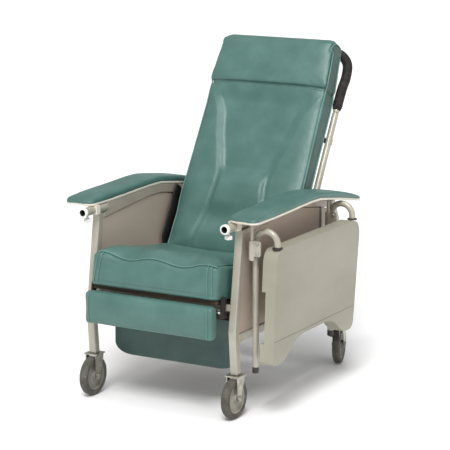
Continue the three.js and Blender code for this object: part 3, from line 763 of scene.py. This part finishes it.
def build_leg_rest():
    mesh = puffed(["legrest_pad"], CHAIR, 5, 2.5, 16, (0.1, 1, 0.3), lambda p: p.y > -54)
    surface = surface_of(mesh)
    for label, side in SIDES:
        seam = traced(surface, [(side * 212, -160, z) for z in range(262, 356, 5)], lambda start: (0, 1, 0))
        pinch(mesh, seam, 7, 1.5)
        add_welt(f"legrest_welt_{label}", seam, 2.0, CHAIR, "legrest_pad")
    add_padding("legrest_padding", mesh, CHAIR, "legrest_pad", ["legrest_pad"])
    dress(["legrest_pad_bracket"], BLACK, 0.6, 2)


def build_calf_board():
    hinge = CHAIR.inverted() @ pin_of("calf_board_fold")
    half, bottom, top = 221, 125, hinge.z - 9
    outline = drawn(
        (-half + 62, bottom), (half - 62, bottom), (half - 8, bottom + 2, half, bottom + 34), (half, top),
        (-half, top), (-half, bottom + 34), (-half + 8, bottom + 2, -half + 62, bottom))[:-1]
    turned_outline = [(z, x) for x, z in outline]
    panel = slab(turned_outline, hinge.y - 6, hinge.y + 14, "y", 7, 4)
    piece = add_piece("calf_board_cover", panel, CHAIR, TEAL_DARK, "calf_board")
    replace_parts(piece, "calf_board")
    metal = tube([(-188, hinge.y, hinge.z), (188, hinge.y, hinge.z)], 5, 20)
    box((-185, hinge.y - 2, top - 20), (185, hinge.y + 2, hinge.z), 0.5, metal)
    add_piece("calf_board_hinge", metal, CHAIR, BLACK, "calf_board")


ARM_UNDERSIDE = [(-22, 612), (100, 612), (330, 620), (400, 619), (540, 597), (705, 565)]


def build_arm_pads():
    for label, side in SIDES:
        name = f"arm_pad_{label}"
        mesh = puffed([name], CHAIR, 4, 1, 6, (0.15, 0.15, 1),
                      lambda p: p.z < between(ARM_UNDERSIDE, p.y) + 12)
        sculpt(mesh, lambda p: (0, 0, 0.6 * wrinkle(p, 60, 11)))
        add_padding(f"arm_padding_{label}", mesh, CHAIR, "frame", [name])


# ---- back frame, push bar and grip ----

PUSH_BAR = [(226, 95, 520.3), (226, 97, 600), (225, 107, 655), (216, 108, 702), (184, 105, 731),
            (136, 103, 738), (0, 102, 739)]


def build_back_frame():
    for label, side in SIDES:
        upright = tube([(side * 226, 95, -12), (side * 226, 95, 520)], 11, 28)
        piece = add_piece(f"back_tube_{label}", upright, BACK, ALMOND, "back")
        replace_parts(piece, f"back_upright_{label}")
    cross = tube([(-214, 96, 120), (214, 96, 120)], 11, 28)
    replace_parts(add_piece("back_cross_bar", cross, BACK, ALMOND, "back"), "back_cross_tube")
    mirrored = [(-x, y, z) for x, y, z in PUSH_BAR[-2::-1]]
    path = eased(PUSH_BAR + mirrored, 120)
    bar = add_piece("push_bar_tube", tube(path, 11, 28), BACK, ALMOND, "back")
    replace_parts(bar, "push_bar")
    held = path[1:-1]
    last = len(held) - 1
    radii = [13.5 + 3.0 * min(1, min(i, last - i) / 2) for i in range(len(held))]
    grip = add_piece("push_grip_foam", tube(held, radii, 28), BACK, FOAM, "back")
    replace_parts(grip, "push_grip")
    dress(["back_board"], TEAL_DARK, 2.0)
    # The recline plates are black steel. Their black also stands in for the shade in the gap between the
    # side panel and the back cushion.
    dress(["recline_plate_left", "recline_plate_right"], BLACK, 0.8, 2)
    build_back_fasteners()


def build_back_fasteners():
    """Dome-headed screws that hold the back board, and saddle clips round the back tubes."""
    screws = bmesh.new()
    for up in (60, 250, 440, 620):
        for x in (-188, 0, 188):
            plug(6, 83, 85.6, "y", (x, 0, up), 1.4, screws, 20)
    add_piece("back_board_screws", screws, BACK, ZINC, "back")
    clips = bmesh.new()
    for _, side in SIDES:
        for up in (200, 420):
            slab(clip_outline(side), up - 9, up + 9, "z", 0.4, 2, clips)
    add_piece("back_tube_clips", clips, BACK, ZINC, "back")


def clip_outline(side):
    """A strap over one back tube, with a flange that is screwed to the board."""
    tube_x, tube_depth, outer, inner = 226, 95, 13, 11.3
    arc = [math.radians(15 * k) for k in range(13)]
    points = [(tube_x + outer * math.cos(a), tube_depth + outer * math.sin(a)) for a in arc]
    points += [(tube_x - outer, 85.4), (tube_x - 32, 85.4), (tube_x - 32, 83.4), (tube_x - inner, 83.4)]
    points += [(tube_x + inner * math.cos(a), tube_depth + inner * math.sin(a)) for a in reversed(arc)]
    return [(side * x, depth) for x, depth in points]


# ---- stored tray ----


def tray_outline():
    return drawn(
        (8, 192), (8, 178, 22, 178), (62, 178), (92, 182, 122, 208), (160, 240, 215, 240), (345, 240),
        (402, 240, 438, 210), (472, 182, 492, 178), (520, 178), (545, 178, 552, 202), (590, 479),
        (592, 531, 540, 531), (70, 531), (28, 531, 27, 479), density=8)


def build_tray():
    inner, outer = 341, 388
    body = slab(tray_outline(), inner, outer, "x", 9, 5)
    piece = add_piece("tray_shell", body, CHAIR, TRAY, "tray", sharp=30)
    grips = box((inner - 5, -30, 243), (inner + 13, 42, 402), 3)
    box((inner - 5, 540, 243), (inner + 13, 640, 402), 3, grips)
    box((outer - 1.3, -20, 251), (outer + 6, 620, 252.6), 0, grips)
    cutter_mesh = bpy.data.meshes.new("tray_cutter")
    grips.to_mesh(cutter_mesh)
    grips.free()
    cutter_mesh.transform(CHAIR)
    cutter = bpy.data.objects.new("tray_cutter", cutter_mesh)
    bpy.context.scene.collection.objects.link(cutter)
    recess = piece.modifiers.new("Grip recesses", "BOOLEAN")
    recess.object = cutter
    recess.solver = "EXACT"
    piece.data = applied(piece)
    bpy.data.objects.remove(cutter)
    piece.data.materials.clear()
    piece.data.materials.append(TRAY)
    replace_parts(piece, "tray_top")
    for label, y in (("front", 58), ("rear", 564)):
        build_tray_arm(label, y)


def build_tray_arm(label, y):
    left, bend_r, bend_z, tip = 300, 37, 543, 135
    arc = [(left + bend_r - bend_r * math.cos(a), y, bend_z + bend_r * math.sin(a))
           for a in (math.pi * k / 24 for k in range(25))]
    path = [(left, y, tip + 10), *arc, (left + 2 * bend_r, y, 531.3)]
    piece = add_piece(f"tray_tube_{label}", tube(path, 10, 28), CHAIR, ALMOND, "tray")
    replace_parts(piece, f"tray_arm_{label}")
    tip_cap = plug(10.4, tip, tip + 22, "z", (left, y, 0), 2.5)
    add_piece(f"tray_tube_tip_{label}", tip_cap, CHAIR, GROMMET, "tray")
    ring = [(10.1, 531.2), (16, 531.2), (16, 533.4), (13, 535.8), (10.1, 536.4)]
    grommet = turned(ring, "z", (left + 2 * bend_r, y, 0))
    add_piece(f"tray_grommet_{label}", grommet, CHAIR, GROMMET, "tray")


# ---- tray sockets, knobs and storage brackets ----

SOCKET_X = 253
SOCKET_HEIGHT = 597
SOCKET_RADIUS = 14
SADDLE_HALF = 17


def build_sockets():
    height, mouth, length, radius, bore = SOCKET_HEIGHT, -53, 128, SOCKET_RADIUS, 10.5
    for label, side in SIDES:
        centre = (side * SOCKET_X, 0, height)
        end = mouth + length
        wall = [(bore, mouth + 3), (radius, mouth + 3), (radius, end), (0.01, end), (0.01, end - 15),
                (bore, end - 15)]
        piece = add_piece(f"socket_tube_{label}", turned(wall, "y", centre), CHAIR, ALMOND, "frame")
        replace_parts(piece, f"tray_socket_{label}")
        ring = [(bore, mouth), (bore + 2.5, mouth), (15.2, mouth + 1.2), (15.6, mouth + 3),
                (15.6, mouth + 9), (radius + 0.1, mouth + 10), (radius + 0.1, mouth + 3.1),
                (bore, mouth + 3.1)]
        add_piece(f"socket_collar_{label}", turned(ring, "y", centre), CHAIR, WHITE, "frame")
        liner = [(bore - 0.9, mouth + 1), (bore - 0.05, mouth + 1), (bore - 0.05, end - 16),
                 (0.01, end - 16), (0.01, end - 18), (bore - 0.9, end - 18)]
        add_piece(f"socket_liner_{label}", turned(liner, "y", centre), CHAIR, GROMMET, "frame")
        saddle = box((side * SOCKET_X - SADDLE_HALF, 2, 584), (side * SOCKET_X + SADDLE_HALF, 22, 611.5), 3)
        add_piece(f"socket_saddle_{label}", saddle, CHAIR, CREAM, "frame")
        build_knob(label, side)


KNOB_Y = -26
KNOB_TOP = SOCKET_HEIGHT - SOCKET_RADIUS - 0.3
KNOB_LOBES = 5
KNOB_LOBE_DEPTH = 0.13
# The knob's outline: height below its stem's top, and radius.
KNOB_PROFILE = [(-20, 10), (-19, 11.6), (-17, 12), (-11, 12), (-8, 10.6), (-7, 7)]


def build_knob(label, side):
    x, y, top = side * SOCKET_X, KNOB_Y, KNOB_TOP
    rings = []
    for z, radius in KNOB_PROFILE:
        ring = []
        for k in range(40):
            angle = 2 * math.pi * k / 40
            r = radius * (1 - KNOB_LOBE_DEPTH * (0.5 - 0.5 * math.cos(KNOB_LOBES * angle)))
            ring.append((x + r * math.cos(angle), y + r * math.sin(angle), top + z))
        rings.append(ring)
    knob = add_piece(f"knob_{label}", loft(rings), CHAIR, WHITE, f"knob_{label}", sharp=50)
    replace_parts(knob, f"socket_knob_{label}")
    stem = plug(4, -7.5, -0.1, "z", (x, y, top), 0.4, segments=20)
    add_piece(f"knob_stem_{label}", stem, CHAIR, ZINC, f"knob_{label}")


BRACKET_X = 300
POST_OFFSET = 24
# Each storage bracket: its name, the depth of the tube it holds and the height of the arm board above.
BRACKETS = [("front", 58, 611.7), ("rear", 564, 592.8)]


def build_brackets():
    for label, y, top in BRACKETS:
        post_y = y - POST_OFFSET
        metal = tube([(BRACKET_X, post_y, 540), (BRACKET_X, post_y, top - 1)], 5, 24)
        ring = [(5, 545), (8.5, 545), (10, 547), (10, 551), (8.5, 553), (5, 553)]
        turned(ring, "z", (BRACKET_X, post_y, 0), 28, metal)
        plug(10, 492, 548, "z", (BRACKET_X, post_y, 0), 2, metal)
        box((282, post_y - 8, top - 3), (314, post_y + 24, top), 0.6, metal)
        piece = add_piece(f"storage_bracket_tube_{label}", metal, CHAIR, ALMOND, "frame")
        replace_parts(piece, f"storage_bracket_{label}")
        cradle = cradle_shape(y)
        add_piece(f"storage_cradle_{label}", cradle, CHAIR, ALMOND, "frame")
        outline = drawn((506, 306), (506, 324), (506, 331, 514, 331), (546, 331),
                        (554, 331, 554, 322), (554, 306))
        plate = slab(outline, post_y - 5, post_y - 1, "y", 1, 2)
        add_piece(f"storage_clamp_{label}", plate, CHAIR, ALMOND, "frame")
        bolts = bmesh.new()
        for z in (515, 545):
            plug(5.5, post_y - 9, post_y - 5, "y", (320, 0, z), 1.4, bolts, 24)
        for z in (507, 533):
            hex_head(4.2, 285.2 - 4, 285.2 - 0.2, "x", (0, y - 6, z), bolts)
            plug(5, 312.4, 314.6, "x", (0, y - 12.6, z), 1, bolts, 20)
        add_piece(f"storage_bolts_{label}", bolts, CHAIR, ZINC, "frame")


def cradle_shape(y):
    """An open C that the stored tray's tube drops into, clamped on the bracket's sleeve."""
    inner, wall = 10.6, 4
    low, high = 500, 540
    outline = [(BRACKET_X + inner + 2, y - inner - wall), (BRACKET_X + inner + 2, y - inner)]
    for k in range(13):
        angle = -math.pi / 2 - math.pi * k / 12
        outline.append((BRACKET_X + inner * math.cos(angle), y + inner * math.sin(angle)))
    outline += [(BRACKET_X + inner + 2, y + inner), (BRACKET_X + inner + 2, y + inner + wall),
                (BRACKET_X - 4, y + inner + wall), (BRACKET_X - inner - wall, y + 6),
                (BRACKET_X - inner - wall, y - inner - wall)]
    return slab(outline, low, high, "z", 0.8, 2)


# ---- casters ----

WHEEL_R = 63.5
WHEEL_WIDTH = 27
TRAIL = 10


def caster_layout(name):
    """Each caster's own millimetres: the stem's axis is Z, and the wheel trails towards +Y."""
    stem = pin_of(f"swivel_{name}")
    axle = pin_of(f"wheel_{name}_spin")
    offset = axle - stem
    turn = math.atan2(-offset.x, offset.y)
    return Matrix.Translation((stem.x, stem.y, 0)) @ Matrix.Rotation(turn, 4, "Z") @ Matrix.Scale(0.001, 4)


def build_fork(name, layout):
    inner = WHEEL_WIDTH / 2 + 3
    outer = inner + 3
    top, under = 135.7, 131.7
    body = box((-24, -24, under), (24, 25, top), 1.2)
    centre_y, centre_z, boss = TRAIL, WHEEL_R, 11.5
    outline = [(-21, under + 0.5), (-21, under - 12)]
    for k in range(13):
        angle = math.radians(172 + k * 16.5)
        outline.append((centre_y + boss * math.cos(angle), centre_z + boss * math.sin(angle)))
    outline += [(23, under - 12), (23, under + 0.5)]
    for side in (-1, 1):
        low, high = (inner, outer) if side > 0 else (-outer, -inner)
        slab(outline, low, high, "x", 0.9, 2, body)
    piece = add_piece(f"fork_{name}", body, layout, FORK, f"fork_{name}")
    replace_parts(piece, f"caster_fork_{name}")
    race = turned([(9, 124), (19, 124), (21.5, 127), (21.5, 131.6), (9, 131.6)], "z", (0, 0, 0))
    add_piece(f"fork_bearing_{name}", race, layout, ZINC, f"fork_{name}")
    bolt = hex_head(8.2, outer + 0.1, outer + 4.6, "x", (0, TRAIL, WHEEL_R))
    hex_head(8.2, -outer - 4.6, -outer - 0.1, "x", (0, TRAIL, WHEEL_R), bolt)
    plug(9.6, outer, outer + 1.2, "x", (0, TRAIL, WHEEL_R), 0.3, bolt)
    plug(9.6, -outer - 1.2, -outer, "x", (0, TRAIL, WHEEL_R), 0.3, bolt)
    add_piece(f"axle_bolt_{name}", bolt, layout, ZINC, f"fork_{name}", sharp=25)


def ring_profile(points):
    """A turned section that is the same on both sides of the wheel's middle."""
    return [*points, *[(r, -x) for r, x in reversed(points)]]


def build_wheel(name, layout):
    half = WHEEL_WIDTH / 2
    centre = (0, TRAIL, WHEEL_R)
    tread = ring_profile([
        (46.2, half - 3.2), (47.5, half - 1.2), (52, half - 0.2), (56.5, half - 0.2), (60, half - 1.6),
        (62.4, half - 4.6), (63.3, half - 8.5), (WHEEL_R, 2)])
    tyre = add_piece(f"tyre_{name}", turned(tread, "x", centre, 72), layout, TYRE, f"wheel_{name}",
                     sharp=60)
    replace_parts(tyre, f"caster_wheel_{name}")
    web = ring_profile([
        (5.8, half + 0.6), (12.5, half + 0.6), (14, half - 0.6), (14.6, half - 5.5), (17, half - 7.6),
        (30, half - 8.6), (31.5, half - 7.2), (34.5, half - 7.2), (36, half - 8.6), (40, half - 7.6),
        (42, half - 3.6), (46, half - 2.6), (46.2, half - 4)])
    add_piece(f"hub_{name}", turned(web, "x", centre, 72), layout, HUB, f"wheel_{name}")


def build_pedal(name, layout):
    outline = [(-25, 134), (-25, 129.5), (-60, 124.5), (-66, 121), (-67, 112), (-78, 110.5), (-83, 147),
               (-75, 149.5), (-68, 134)]
    blade = slab(outline, -16, 16, "x", 2.2, 3)
    piece = add_piece(f"pedal_{name}", blade, layout, BLACK, f"pedal_{name}")
    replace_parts(piece, f"brake_pedal_{name}")
    ribs = bmesh.new()
    for k in range(4):
        z = 116.5 + k * 8
        y = -78.6 - k * 1.05
        box((-12, y - 2.6, z), (12, y + 0.8, z + 3), 0.8, ribs)
    add_piece(f"pedal_ribs_{name}", ribs, layout, GROMMET, f"pedal_{name}")


def build_casters():
    for name in ("front_left", "front_right", "rear_left", "rear_right"):
        layout = caster_layout(name)
        build_fork(name, layout)
        build_wheel(name, layout)
        if name.startswith("rear"):
            build_pedal(name, layout)


# ---- steel frame and side panels ----


def dress_frame():
    for label, _ in SIDES:
        dress([f"front_leg_{label}", f"rear_leg_{label}"], ALMOND, 3.6, 4)
        dress([f"lower_rail_{label}", f"rear_post_{label}"], ALMOND, 3.0)
        dress([f"upper_rail_{label}"], TAUPE, 3.0)
        dress([f"side_panel_{label}", f"rear_panel_{label}"], PANEL, 4.0, 4)
        dress([f"arm_board_{label}"], CREAM, 1.6, 2)
        dress([f"recline_lug_{label}"], BLACK, 0.6, 2)
        dress([f"seat_rail_{label}"], ALMOND, 3.0)
    dress(["front_cross_tube"], ALMOND, 2.5)
    dress(["rear_cross_tube"], ALMOND, 3.0)
    dress(["seat_board"], PLY, 1.0, 2)
    dress(["legrest_carriage"], BLACK, 0.8, 2)


# ---- studio ----


def build_studio():
    floor_mesh = bmesh.new()
    bmesh.ops.create_grid(floor_mesh, x_segments=2, y_segments=2, size=60)
    mesh = bpy.data.meshes.new("studio_floor")
    floor_mesh.to_mesh(mesh)
    floor_mesh.free()
    paper = Finish("studio_paper", specular=0.1)
    paper.colour(paper.noise(3, 2), [(0.3, srgb(250, 250, 250)), (0.7, srgb(253, 253, 253))])
    paper.roughness(paper.noise(5, 2), 0.9, 0.95)
    mesh.materials.append(paper.material)
    floor = bpy.data.objects.new("studio_floor", mesh)
    floor.location.z = -0.0005
    bpy.context.scene.collection.objects.link(floor)

    world = bpy.data.worlds.new("studio")
    bpy.context.scene.world = world
    world.use_nodes = True
    sky = world.node_tree.nodes["Background"]
    sky.inputs["Color"].default_value = (1, 1, 1, 1)
    sky.inputs["Strength"].default_value = 0.45
    add_sun("key", 2.3, 22, (22, 52))
    add_sun("top", 0.7, 40, (0, 78))
    add_sun("fill", 0.4, 60, (72, 20))


def add_sun(name, strength, blur, aim):
    """A soft distant light. aim is its (azimuth, elevation) in degrees, azimuth 0 being in front."""
    light = bpy.data.lights.new(name, "SUN")
    light.energy = strength
    light.angle = math.radians(blur)
    azimuth, elevation = (math.radians(a) for a in aim)
    towards = Vector((math.sin(azimuth) * math.cos(elevation), -math.cos(azimuth) * math.cos(elevation),
                      math.sin(elevation)))
    lamp = bpy.data.objects.new(name, light)
    lamp.rotation_euler = towards.to_track_quat("Z", "Y").to_euler()
    bpy.context.scene.collection.objects.link(lamp)


def build_camera():
    eye = Vector((3.0491, -5.3535, 1.7952))
    azimuth, elevation = math.radians(29.79), math.radians(11.79)
    looking = Vector((-math.sin(azimuth) * math.cos(elevation), math.cos(azimuth) * math.cos(elevation),
                      -math.sin(elevation)))
    camera = bpy.data.objects.new("camera", bpy.data.cameras.new("camera"))
    camera.data.lens = 156
    camera.data.sensor_width = 36
    camera.data.clip_end = 200
    camera.location = eye
    camera.rotation_euler = looking.to_track_quat("-Z", "Y").to_euler()
    bpy.context.scene.collection.objects.link(camera)
    bpy.context.scene.camera = camera


build_camera()
build_studio()
bpy.context.scene.view_settings.view_transform = "Standard"
dress_frame()
build_seat()
build_back_cushion()
build_leg_rest()
build_calf_board()
build_arm_pads()
build_back_frame()
build_tray()
build_sockets()
build_brackets()
build_casters()
